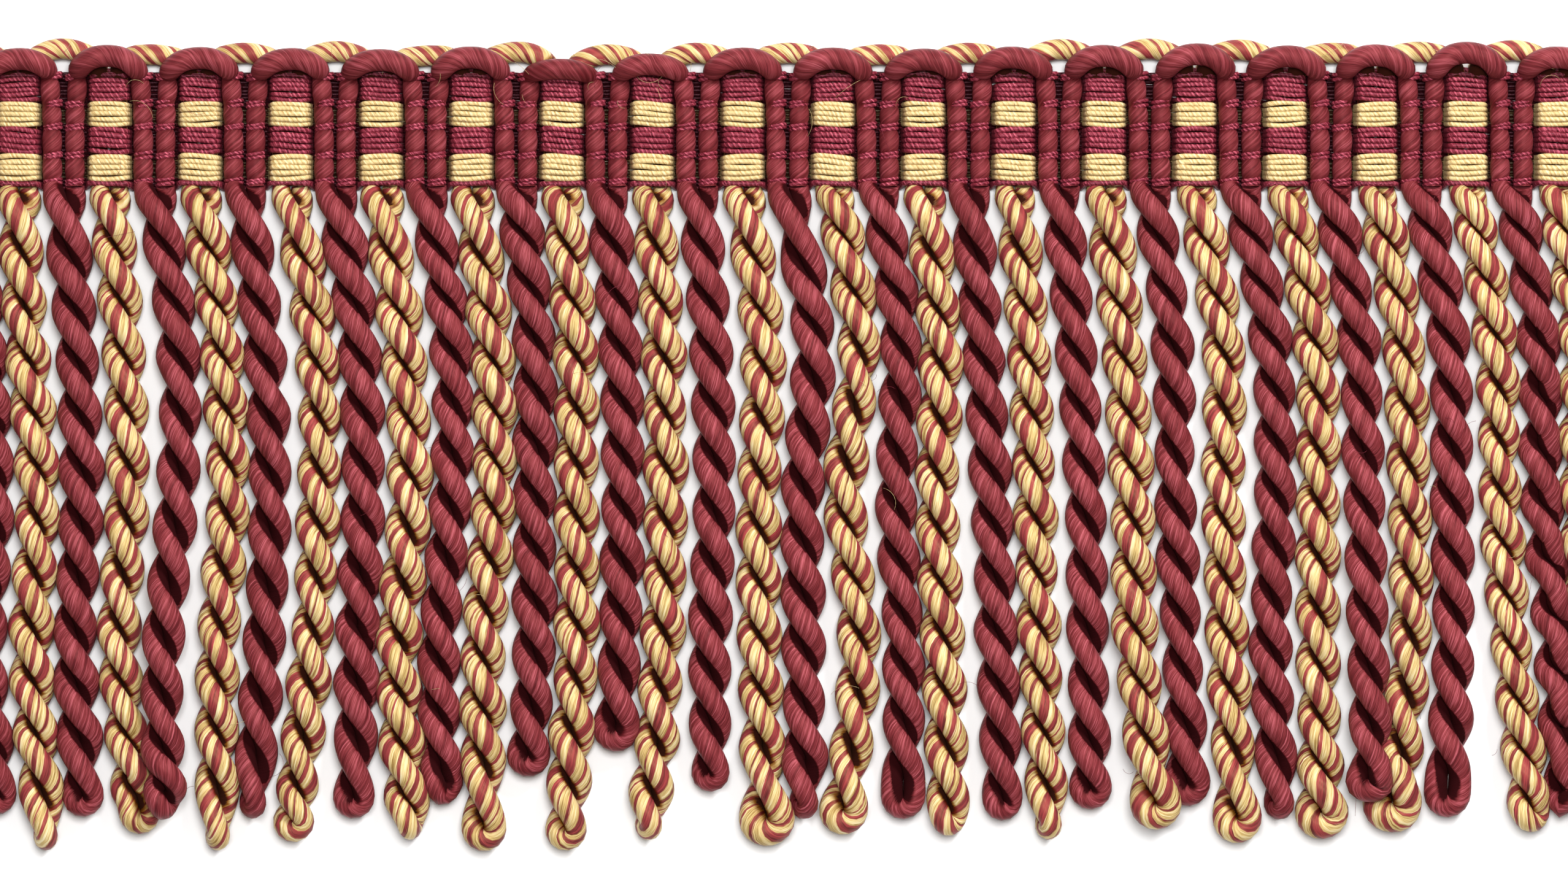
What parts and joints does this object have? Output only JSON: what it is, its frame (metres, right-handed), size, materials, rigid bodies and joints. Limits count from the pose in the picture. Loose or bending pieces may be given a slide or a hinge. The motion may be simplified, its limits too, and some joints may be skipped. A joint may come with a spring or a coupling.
{
  "type": "bullion fringe trim",
  "caption": "Upholstery trim lying face up: a woven heading of two looped cords and warp bands, with alternating burgundy and gold twisted bullion strands.",
  "frame": {"origin": "on the surface under the middle of the trim's length and height", "axes": "+X along the trim, +Y from the strands' tips to the arches, +Z out of its face"},
  "size_m": [0.3218, 0.1524, 0.0077],
  "materials": {
    "burgundy_cord": "smooth lustrous gimp cord with fine fibres wound round it",
    "gold_cord": "lustrous gold gimp cord with narrow burgundy stripes wound round it",
    "burgundy_yarn": "fine twisted burgundy warp yarns, soft sheen",
    "gold_yarn": "fine twisted gold warp yarns, soft sheen"
  },
  "bodies": {
    "root": {"burgundy_cord": "burgundy_cord", "gold_cord": "gold_cord", "warp_band_top": "burgundy_yarn", "warp_band_upper": "gold_yarn", "warp_band_lower": "burgundy_yarn", "warp_band_foot": "gold_yarn"}
  },
  "joints": []
}
